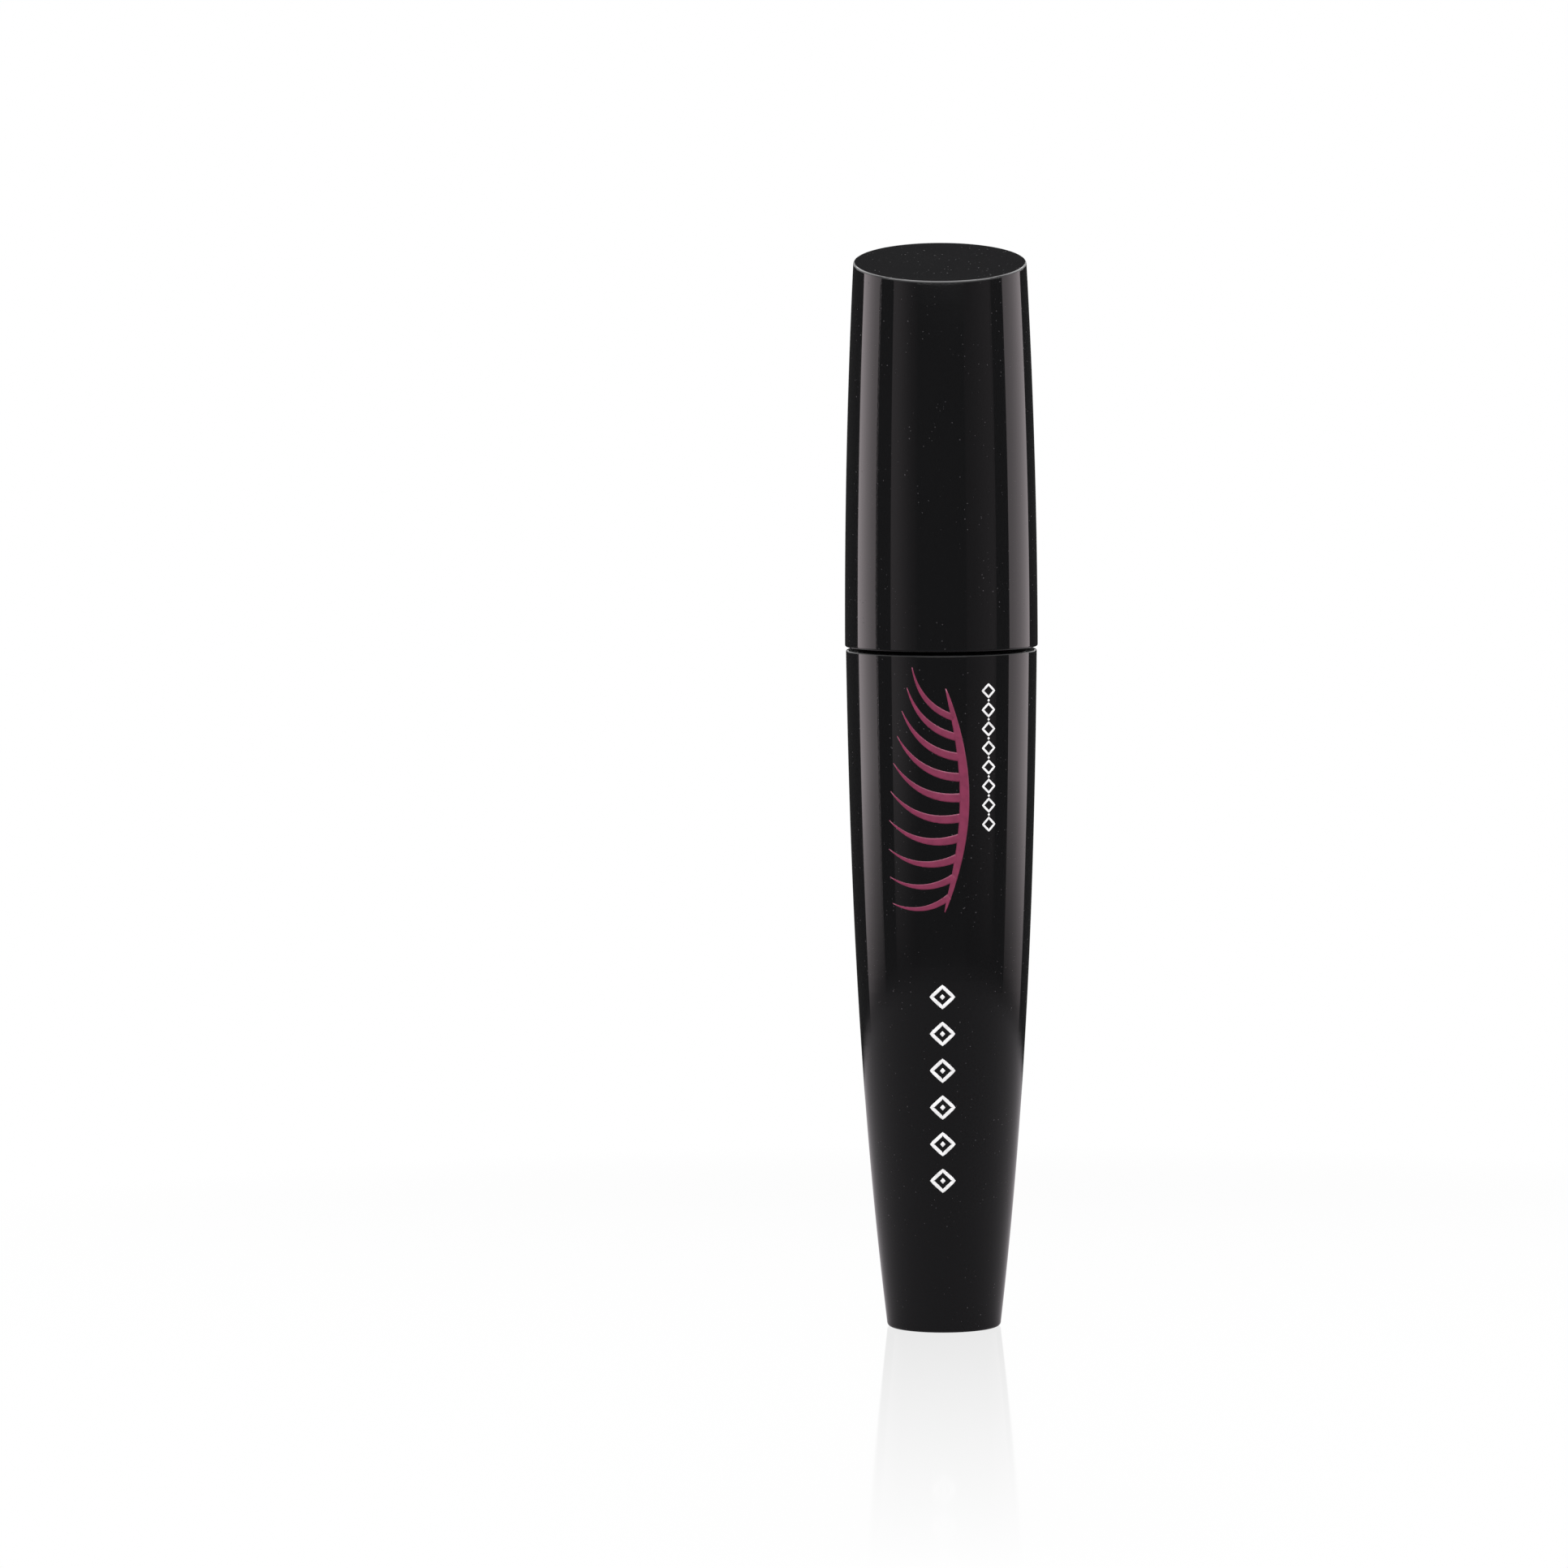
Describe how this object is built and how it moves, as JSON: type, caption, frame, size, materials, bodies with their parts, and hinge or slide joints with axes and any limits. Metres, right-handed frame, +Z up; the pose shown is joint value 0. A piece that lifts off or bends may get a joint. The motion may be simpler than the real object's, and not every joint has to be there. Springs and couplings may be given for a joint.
{
  "type": "mascara tube",
  "caption": "Tapered glossy cosmetic tube with a slant-topped screw cap that carries a rod and a twisted-wire brush through a neck wiper.",
  "frame": {"origin": "middle of the flat base the tube stands on", "axes": "+Z up the tube's axis to the cap, -Y the printed front, towards which the cap's top slants down, +X to the viewer's right"},
  "size_m": [0.021, 0.021, 0.1188],
  "materials": {
    "sleeve_black": "high gloss moulded black",
    "bottle_liner": "satin black moulded polypropylene",
    "wiper_soft": "soft translucent polyethylene",
    "seal_foam": "fine-celled washer sheet",
    "cap_core": "satin black moulded polypropylene",
    "cap_black": "high gloss moulded black",
    "rod_black": "smooth moulded black",
    "wire_steel": "bright drawn wire",
    "bristle_nylon": "extruded black filament"
  },
  "bodies": {
    "bottle": {"outer_sleeve": "sleeve_black", "inner_bottle": "bottle_liner", "wiper": "wiper_soft"},
    "neck_seal": {"seal_ring": "seal_foam"},
    "wand": {"rod": "rod_black", "brush_wire": "wire_steel", "bristles": "bristle_nylon"},
    "cap": {"cap_shell": "cap_black", "inner_cap": "cap_core"}
  },
  "joints": [
    {"name": "applicator_draw", "type": "slide", "parent": "bottle", "child": "neck_seal", "axis": [0, 0, 1], "range_m": [0, 0.09], "deforming": ["bristles"]},
    {"name": "thread_lift", "type": "slide", "parent": "neck_seal", "child": "wand", "axis": [0, 0, 1], "range_m": [0, 0.0045], "deforming": ["bristles"]},
    {"name": "cap_turn", "type": "hinge", "parent": "wand", "child": "cap", "pos_m": [0, 0, 0.08], "axis": [0, 0, 1], "range_deg": [0, 540]}
  ],
  "couplings": [
    {"joint": "thread_lift", "follows": "cap_turn", "m_per_rad": 0.00047746}
  ]
}
